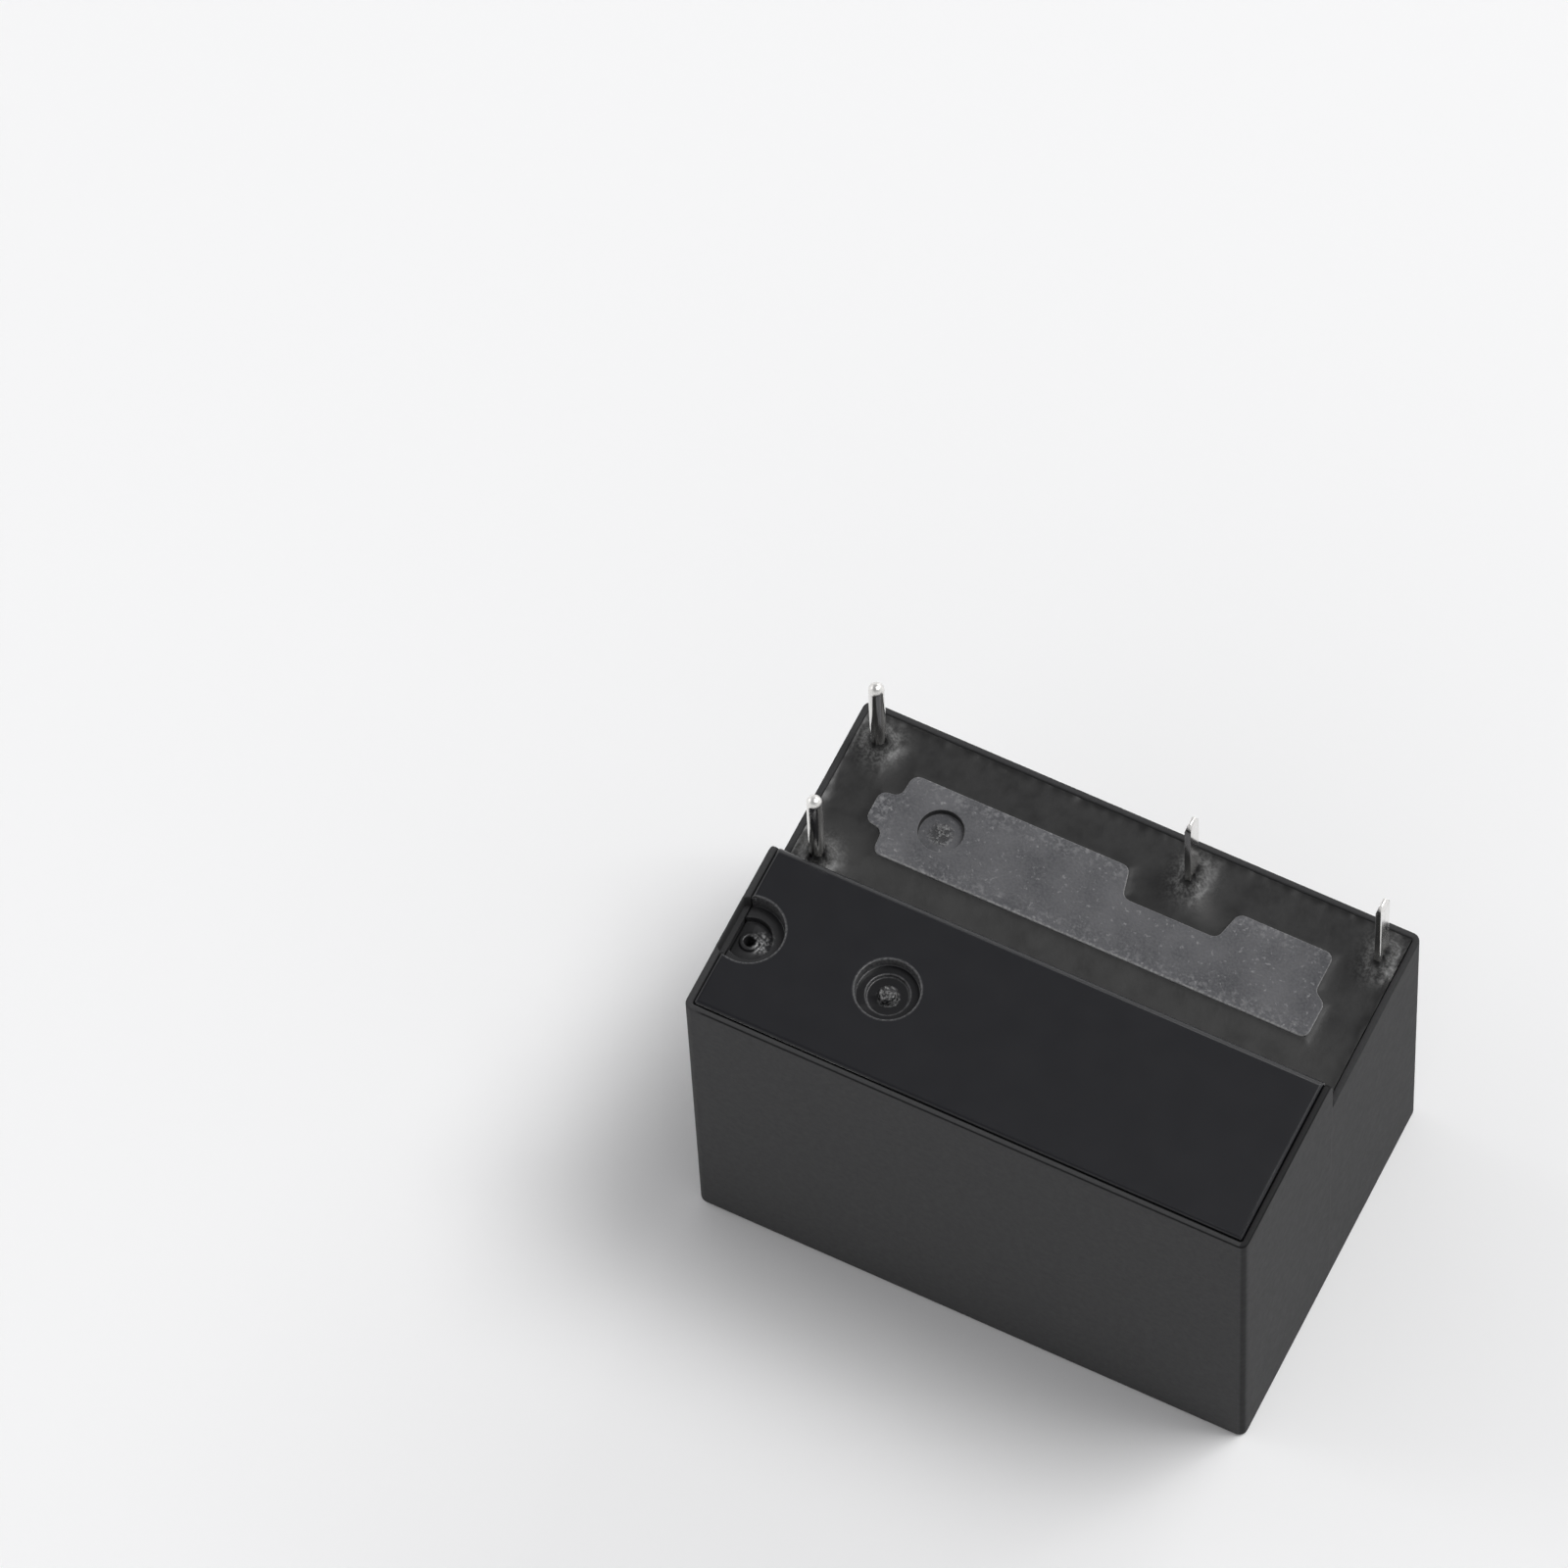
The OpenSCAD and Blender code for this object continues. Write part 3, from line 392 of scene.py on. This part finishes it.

# The island is mottled and specked; dust drifts to its outline. Its edges and walls are lighter, dust
# and painted highlight, more so at the front edge, also painted light over the front wall's shade; the
# walls of its ejector mark are painted dark, painted shade.
speck = patches(tree, 0.17 * mm, 4, 0, 0.8, band=(0.62, 0.76))
drift = patches(tree, 0.2 * mm, 4, band=(0.5, 0.68))
from_middle = combine(tree, "SUBTRACT", at["Y"], (island_front + island_back) / 2)
near_edge = combine(tree, "MAXIMUM",
                    ramp(tree, combine(tree, "ABSOLUTE", from_middle), 0.9 * mm, 1.75 * mm, 0, 0.6),
                    ramp(tree, at["X"], island_left + 0.22 * mm, island_left + 1.22 * mm, 0.7, 0))
# Lighter on the rounded edges and walls: dust and painted highlight.
dust_and_highlight = combine(tree, "MULTIPLY", tilt, ramp(tree, grain, 0.2, 0.8, 0.45, 1))
# Lighter along the front edge: dust, and painted light over the shade of the front wall.
front_edge = ramp(tree, at["Y"], island_front + 0.03 * mm, island_front + 0.12 * mm, 1, 0)
front_edge = combine(tree, "MULTIPLY", front_edge, ramp(tree, grain, 0.2, 0.8, 0.2, 1))
in_mark = spot(tree, *ejector, ejector_r + 0.02 * mm, ejector_r + 0.04 * mm)
dry = mix(tree, cloud, (0.056, 0.057, 0.063), (0.108, 0.108, 0.115))
dry = mix(tree, combine(tree, "MULTIPLY", grain, 0.5), dry, (0.125, 0.125, 0.13))
dry = mix(tree, speck, dry, (0.26, 0.26, 0.265))
dry = mix(tree, combine(tree, "MULTIPLY", drift, near_edge), dry, (0.24, 0.24, 0.245))
dry = mix(tree, dust_and_highlight, dry, (0.32, 0.32, 0.32))
dry = mix(tree, front_edge, dry, (0.26, 0.26, 0.26))
# The walls inside the ejector mark are painted dark: painted shade.
dry = mix(tree, combine(tree, "MULTIPLY", in_mark, tilt), dry, (0.02, 0.02, 0.021))

# The sprue in the gate and the middle of the ejector mark are broken rough and crumbly.
broken = combine(tree, "MAXIMUM", spot(tree, *gate, 0.36 * mm, 0.46 * mm),
                 spot(tree, *ejector, 0.3 * mm, 0.55 * mm))
rubble = mix(tree, crumb, (0.015, 0.015, 0.016), (0.3, 0.3, 0.3))
whole = mix(tree, on_island, gloss, dry)
feed(shader, "Base Color", mix(tree, combine(tree, "MULTIPLY", broken, 0.8), whole, rubble))
rough = mix(tree, on_island, patches(tree, 1.2 * mm, 3, 0.29, 0.31), (0.8, 0.8, 0.8))
feed(shader, "Roughness", mix(tree, broken, rough, (0.5, 0.5, 0.5)))
fine = combine(tree, "MULTIPLY", combine(tree, "MULTIPLY", grain, on_island), 0.12)
relief(shader, combine(tree, "ADD", fine, combine(tree, "MULTIPLY", crumb, broken)), 0.06 * mm)
break_edges(dress("base", base_skin), 0.05 * mm)

# Cover: the deep case, moulded in dark grey plastic with a fine satin skin.
# One thin shell, drawn as a wall profile carried round the plan of the case;
# its rim steps down beside the deck, and the base is pressed in and sealed.
top_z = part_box("base")[1][2]
deck_z, ledge_z, step_r = top_z - 2.1 * mm, 13.0 * mm, 0.4 * mm
rim_t, wall_t, floor_t = 0.27 * mm, 0.5 * mm, 0.6 * mm
corner_r, floor_r, rim_r = 0.35 * mm, 0.15 * mm, 0.1 * mm
vent_floor, vent_skin = top_z - 0.75 * mm, 0.08 * mm
arc_points = 9

case_skin, tree, shader = skin("case_plastic", (0.046, 0.046, 0.047), 0.8)
shader.inputs["Specular IOR Level"].default_value = 0.12
at, normal = split(tree), split(tree, "Normal")
along_x, along_y, along_z = (combine(tree, "ABSOLUTE", normal[axis]) for axis in "XYZ")
straight = combine(tree, "MAXIMUM", combine(tree, "MAXIMUM", along_x, along_y), along_z)
# The rounded edges and the top of the right rim are painted darker, less on the vertical corners and
# fading behind the strip's step and at the left end: painted shade and dark reflection.
edge = ramp(tree, straight, 0.84, 0.95, 1, 0)
edge = combine(tree, "MULTIPLY", edge, ramp(tree, along_z, 0.05, 0.2, 0.6, 1))
right_rim = combine(tree, "MULTIPLY", ramp(tree, along_z, 0.7, 0.9, 0, 1),
                    ramp(tree, at["X"], half_l - rim_t, half_l - rim_t + 0.01 * mm, 0, 0.7))
edge = combine(tree, "MAXIMUM", edge, right_rim)
edge = combine(tree, "MULTIPLY", edge, ramp(tree, at["Y"], step_y, step_y + 0.3 * mm, 1, 0.3))
edge = combine(tree, "MULTIPLY", edge, ramp(tree, at["X"], 0.5 * mm - half_l, 0.8 * mm - half_l, 0, 1))
plastic = mix(tree, patches(tree, 0.12 * mm, 4), (0.043, 0.043, 0.044), (0.049, 0.049, 0.05))
feed(shader, "Base Color", mix(tree, edge, plastic, (0.01, 0.01, 0.0105)))
feed(shader, "Roughness", patches(tree, 0.3 * mm, 3, 0.74, 0.84))
relief(shader, noise(tree, 0.07 * mm, 2), 0.001 * mm)


def plan_ring(inset, cuts):
    """Rounded rectangle of the case moved in by inset: a quarter circle at each corner, and on
    both short sides one more point at each y in cuts. Runs anticlockwise from above."""
    l, w = half_l - inset, half_w - inset
    r = max(corner_r - inset, 0.1 * mm)
    t = np.linspace(0, np.pi / 2, arc_points)
    arcs = []
    for k, (sx, sy) in enumerate(((1, 1), (-1, 1), (-1, -1), (1, -1))):
        arcs.append(np.stack([sx * (l - r) + r * np.cos(t + k * np.pi / 2),
                              sy * (w - r) + r * np.sin(t + k * np.pi / 2)], axis=1))
    right = np.stack([np.full(len(cuts), l), cuts], axis=1)
    left = np.stack([np.full(len(cuts), -l), cuts[::-1]], axis=1)
    return np.concatenate([right, arcs[0], arcs[1], left, arcs[2], arcs[3]])


def tube_faces(rows, count):
    """Quads between neighbouring closed rings of count points, ring after ring."""
    i, j = np.meshgrid(np.arange(rows - 1), np.arange(count), indexing="ij")
    k = (j + 1) % count
    quads = np.stack([i * count + j, i * count + k, (i + 1) * count + k, (i + 1) * count + j], axis=-1)
    return quads.reshape(-1, 4).tolist()


def case_shell():
    """The wall's profile carried round the plan, one ring for each of its points (inset, level, and
    whether the level counts from the rim). The rim falls by step_r (1 - cos t) at the strip's back
    edge. Beside the vent the insets shrink to the skin left there. Quads across close both ends."""
    sweep = np.linspace(0, np.pi / 2, 9)
    mouth = vent[1] + vent_r * np.sin(np.linspace(-1.15, 1.15, 25))
    cuts = np.concatenate([mouth, step_y - step_r * (1 - np.sin(sweep)), [step_y + 0.01 * mm]])
    fall = np.append(np.zeros(len(mouth)), step_r * (1 - np.cos(sweep)))
    plan = plan_ring(0, cuts)
    top = np.where(plan[:, 1] > step_y, deck_z, strip_z)
    top[:len(fall)] -= fall
    left_start = len(cuts) + 2 * arc_points + 1
    top[left_start:left_start + len(fall)] -= fall[::-1]

    chord = vent[0] - np.sqrt(np.maximum(vent_r ** 2 - (plan[:, 1] - vent[1]) ** 2, 0))
    beside_vent = (plan[:, 0] < 0) & (np.abs(plan[:, 1] - vent[1]) < vent_r)
    share = np.where(beside_vent, np.clip(chord + half_l, vent_skin, rim_t) / rim_t, 1)
    bend = np.linspace(0, np.pi / 2, 5)
    profile = [(floor_r * (1 - np.sin(t)), floor_r * (1 - np.cos(t)), 0) for t in bend]
    profile += [(rim_r * (1 - np.cos(t)), rim_r * (np.sin(t) - 1), 1) for t in bend]
    profile += [(rim_t - rim_r * (1 - np.sin(t)), rim_r * (np.cos(t) - 1), 1) for t in bend]
    for drop in (0.002 * mm, 0.004 * mm):
        profile.append((rim_t, np.minimum(vent_floor - drop, top - rim_r - 10 * drop), 0))
    profile += [(rim_t, ledge_z, 0), (wall_t, ledge_z, 0), (wall_t, floor_t, 0)]
    rings = []
    for inset, level, from_rim in profile:
        plan = plan_ring(inset, cuts)
        height = level + from_rim * top
        thin = beside_vent & (height > vent_floor - 0.003 * mm)
        plan[thin, 0] = inset * share[thin] - half_l
        rings.append(np.column_stack([plan, height]))

    count = len(plan)
    up_right = np.roll(np.arange(count), arc_points)[:len(cuts) + 2 * arc_points]
    up_left = np.arange(count)[len(cuts) + arc_points:-arc_points][::-1]
    end = np.stack([up_right[:-1], up_right[1:], up_left[1:], up_left[:-1]], axis=1)
    ends = end[:, ::-1].tolist() + (end + (len(rings) - 1) * count).tolist()
    return np.array(rings), tube_faces(len(rings), count) + ends


cover = solid("cover_shell", *case_shell(), case_skin, "case_plastic")
even_shading(cover, keep_sharp=True)
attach(cover, "case")
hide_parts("cover")

# Sealing resin: black epoxy poured round the pins and the island and cured, so it creeps up
# whatever it wets. A height field over the trough: flat pool plus a meniscus at every wall.
pool_low, pool_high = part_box("sealing_resin")
bed_z, resin_z = pool_low[2], deck_z - 0.1 * mm
rim_climb, rim_reach = 0.07 * mm, 0.16 * mm
strip_climb, strip_reach = 0.2 * mm, 0.25 * mm
island_climb, island_reach = 0.05 * mm, 0.18 * mm
pin_climb, pin_reach = 0.5 * mm, 0.24 * mm
wet_reach, foot_reach = 0.6 * mm, 0.13 * mm
round_half, flat_half = (coil_r, coil_r, coil_r), (flat_t / 2, flat_w / 2, flat_r)
pins = ((coil_x, rear_y, *round_half), (coil_x, front_y, *round_half),
        (fixed_x, rear_y, *flat_half), (common_x, rear_y, *flat_half))


def outline_distance(x, y, corners):
    """Distance of each point from a closed outline, negative inside it."""
    best = np.full(x.shape, 1.0)
    inside = np.zeros(x.shape, dtype=bool)
    for p, q in zip(corners, np.roll(corners, -1, axis=0)):
        d = q - p
        t = np.clip(((x - p[0]) * d[0] + (y - p[1]) * d[1]) / (d @ d), 0, 1)
        best = np.minimum(best, np.hypot(x - p[0] - t * d[0], y - p[1] - t * d[1]))
        crosses = (p[1] > y) != (q[1] > y)
        with np.errstate(divide="ignore", invalid="ignore"):
            crossing = p[0] + (y - p[1]) * d[0] / d[1]
        inside ^= crosses & (x < crossing)
    return np.where(inside, -best, best)


def pin_distance(x, y, pin):
    """Distance of each point from a pin's side, a rectangle of half sizes hx, hy with corners of
    radius r, negative inside it: length of the positive part of (|d| - h + r), less r."""
    px, py, hx, hy, r = pin
    dx = np.abs(x - px) - (hx - r)
    dy = np.abs(y - py) - (hy - r)
    inner = np.minimum(np.maximum(dx, dy), 0)
    return np.hypot(np.maximum(dx, 0), np.maximum(dy, 0)) + inner - r


def ripple(x, y, size):
    """Sum of five plane waves in fixed directions, between about -1 and 1."""
    total = np.zeros(x.shape)
    for k, (angle, phase) in enumerate(((0.3, 0.0), (1.4, 1.1), (2.3, 2.7), (2.9, 4.2), (0.9, 5.3))):
        wave = 2 * np.pi / (size * (0.7 + 0.17 * k))
        total += np.sin(wave * (x * math.cos(angle) + y * math.sin(angle)) + phase)
    return total / 3


def resin_level(x, y):
    """Pool level, plus for each wetted wall a climb that fades as exp(-distance / reach); the climbs
    at the pins stand in ridges and lumps. Gives the level, and how near a pin and its foot it is."""
    from_rim = np.minimum(half_l - rim_t - np.abs(x), half_w - rim_t - y)
    z = resin_z + (rim_climb + 0.03 * mm * ripple(x, y, 0.8 * mm)) * np.exp(-from_rim / rim_reach)
    z += strip_climb * np.exp(-(y - step_y) / strip_reach)
    shore = outline_distance(x, y, island)
    z += island_climb * np.exp(-np.maximum(shore, 0) / island_reach)
    z += 0.005 * mm * ripple(x, y, 2.4 * mm)
    hole = shore < -0.16 * mm
    wet, foot = np.zeros(x.shape), np.zeros(x.shape)
    for k, pin in enumerate(pins):
        off = pin_distance(x, y, pin)
        outside = np.maximum(off, 0)
        round_pin = np.arctan2(y - pin[1], x - pin[0])
        ridges = 0.06 * np.sin(5 * round_pin + k) + 0.04 * np.sin(9 * round_pin + 2 * k)
        z += (pin_climb + ridges * mm) * np.exp(-outside / pin_reach)
        near = np.exp(-(outside / wet_reach) ** 2)
        z += 0.022 * mm * near * ripple(x, y, 0.55 * mm) * (1 + ripple(y, x, 0.9 * mm))
        wet = np.maximum(wet, near)
        foot = np.maximum(foot, np.exp(-(outside / foot_reach) ** 2))
        hole |= off < -0.06 * mm
    return np.where(hole, bed_z + 0.02 * mm, z), wet, foot


def grid_lines(low, high, marks, fine, coarse):
    """Lines from low to high, fine apart within 0.9 mm of a mark and coarse apart elsewhere."""
    t = np.linspace(low, high, 4000)
    near = np.abs(t[:, None] - np.array(marks)).min(axis=1) < 0.9 * mm
    count = np.cumsum(np.where(near, 1 / fine, 1 / coarse)) * (t[1] - t[0])
    return np.interp(np.linspace(count[0], count[-1], int(count[-1])), count, t)


def resin_block(across, along):
    """Closed block under resin_level over a grid: level on top, straight sides, one flat bed."""
    nx, ny = len(across), len(along)
    x, y = np.meshgrid(across, along, indexing="ij")
    level, wet, foot = resin_level(x, y)
    upper = np.stack([x, y, level], axis=-1).reshape(-1, 3)
    i, j = np.meshgrid(np.arange(nx - 1), np.arange(ny - 1), indexing="ij")
    quads = np.stack([i * ny + j, (i + 1) * ny + j, (i + 1) * ny + j + 1, i * ny + j + 1], axis=-1)
    number = np.arange(nx * ny).reshape(nx, ny)
    loop = np.concatenate([number[:-1, 0], number[-1, :-1], number[:0:-1, -1], number[0, :0:-1]])
    lower = upper[loop].copy()
    lower[:, 2] = bed_z
    below = nx * ny + np.arange(len(loop))
    sides = np.stack([loop, below, np.roll(below, -1), np.roll(loop, -1)], axis=-1)
    faces = quads.reshape(-1, 4).tolist() + sides.tolist() + [below[::-1].tolist()]
    marks = [np.append(near.ravel(), np.zeros(len(loop))) for near in (wet, foot)]
    return np.concatenate([upper, lower]), faces, marks


def marked(tree, name):
    """The value of a named mark that the mesh carries at each point."""
    node = tree.nodes.new("ShaderNodeAttribute")
    node.attribute_name = name
    return node.outputs["Fac"]


epoxy, tree, shader = skin("resin", (0.03, 0.03, 0.03), 0.4)
near_pin, at_foot = marked(tree, "wet"), marked(tree, "foot")
beside_strip = ramp(tree, split(tree)["Y"], step_y + 1.6 * mm, step_y + 3.2 * mm, 1, 0)
residue = combine(tree, "MULTIPLY", near_pin, patches(tree, 0.1 * mm, 5, 0.2, 1, band=(0.42, 0.6)))
pool = mix(tree, patches(tree, 1.8 * mm, 5), (0.005, 0.005, 0.005), (0.01, 0.0098, 0.0096))
pool = mix(tree, patches(tree, 0.3 * mm, 4, 0, 0.35, band=(0.35, 0.65)), pool, (0.016, 0.0158, 0.0155))
pool = mix(tree, beside_strip, pool, (0.022, 0.0218, 0.021))
pool = mix(tree, residue, pool, (0.11, 0.11, 0.108))
# Round the foot of each pin the resin is painted near black: painted shade.
feed(shader, "Base Color", mix(tree, at_foot, pool, (0.003, 0.003, 0.003)))
rough = mix(tree, near_pin, patches(tree, 0.7 * mm, 4, 0.36, 0.5), (0.4, 0.4, 0.4))
feed(shader, "Roughness", mix(tree, at_foot, rough, (0.75, 0.75, 0.75)))
relief(shader, noise(tree, 0.25 * mm, 4), 0.006 * mm)

across = grid_lines(pool_low[0], pool_high[0], (coil_x, fixed_x, common_x), 0.032 * mm, 0.1 * mm)
along = grid_lines(pool_low[1], pool_high[1], (front_y, rear_y), 0.032 * mm, 0.08 * mm)
points, faces, marks = resin_block(across, along)
resin = solid("resin_pool", points, faces, epoxy, "resin")
for name, values in zip(("wet", "foot"), marks):
    resin.data.attributes.new(name, "FLOAT", "POINT").data.foreach_set("value", values)
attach(resin, "case")
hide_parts("sealing_resin")

# Stage: a wide sheet of pale paper under three soft boxes, which isn't part of the object.
# The room is white at eye level and dim overhead, so the glossy strip mirrors a dark ceiling.
reach, floor_z = 2.0, -0.01 * mm
corners = [(x * reach, y * reach, floor_z) for x, y in ((-1, -1), (1, -1), (1, 1), (-1, 1))]
paper = skin("paper", (0.92, 0.92, 0.92), 0.9)[0]
floor_mesh = bpy.data.meshes.new("floor")
floor_mesh.from_pydata(corners, [], [(0, 1, 2, 3)])
floor_mesh.materials.append(paper)
floor = bpy.data.objects.new("floor", floor_mesh)
bpy.context.scene.collection.objects.link(floor)

world = bpy.data.worlds.new("studio")
bpy.context.scene.world = world
world.use_nodes = True
tree = world.node_tree
overhead = ramp(tree, split(tree, "Generated")["Z"], 0.3, 0.7, 0, 1)
feed(tree.nodes["Background"], "Color", mix(tree, overhead, (1.0, 1.0, 1.0), (0.2, 0.2, 0.21)))


def stand(name, data, right, up, back, place):
    """An object for a lamp or camera at place, with its own x, y and z along right, up and back."""
    turn = np.eye(4)
    turn[:3, :4] = np.column_stack([right, up, back, place])
    thing = bpy.data.objects.new(name, data)
    thing.matrix_world = Matrix(turn.tolist())
    bpy.context.scene.collection.objects.link(thing)
    return thing


def soft_box(name, place, width, height, watts):
    """A rectangular soft light at place that faces the origin."""
    data = bpy.data.lights.new(name, "AREA")
    data.shape = "RECTANGLE"
    data.size, data.size_y = width, height
    data.energy = watts
    back = np.array(place) / np.linalg.norm(place)
    right = np.cross((0, 0, 1), back)
    right /= np.linalg.norm(right)
    stand(name, data, right, np.cross(back, right), back, place)


soft_box("box_top", (0.8, 0.6, 2.3), 1.0, 1.0, 34)
soft_box("box_back", (0.6, 2.1, 1.3), 1.6, 0.8, 10)
soft_box("box_left", (-2.2, -0.2, 1.2), 1.4, 0.8, 7)

# Camera: the photograph's own angle, found from the corners of the case and from the pins.
# A long lens from half a metre away, aimed beside the case, which lies low and right in the frame.
turn, rise, roll = np.radians((29.634, 63.102, -3.647))
away, aside, above = 475.07 * mm, -10.202 * mm, 13.769 * mm
back = np.array([np.sin(turn) * np.cos(rise), -np.cos(turn) * np.cos(rise), np.sin(rise)])
right = np.array([np.cos(turn), np.sin(turn), 0])
up = np.cross(back, right)
right, up = np.cos(roll) * right + np.sin(roll) * up, np.cos(roll) * up - np.sin(roll) * right
lens = bpy.data.cameras.new("camera")
lens.lens = 292.5
lens.sensor_width = 36.0
lens.clip_start, lens.clip_end = 0.01, 20.0
camera = stand("camera", lens, right, up, back, back * away + right * aside + up * above)
bpy.context.scene.camera = camera
bpy.context.scene.view_settings.view_transform = "Standard"
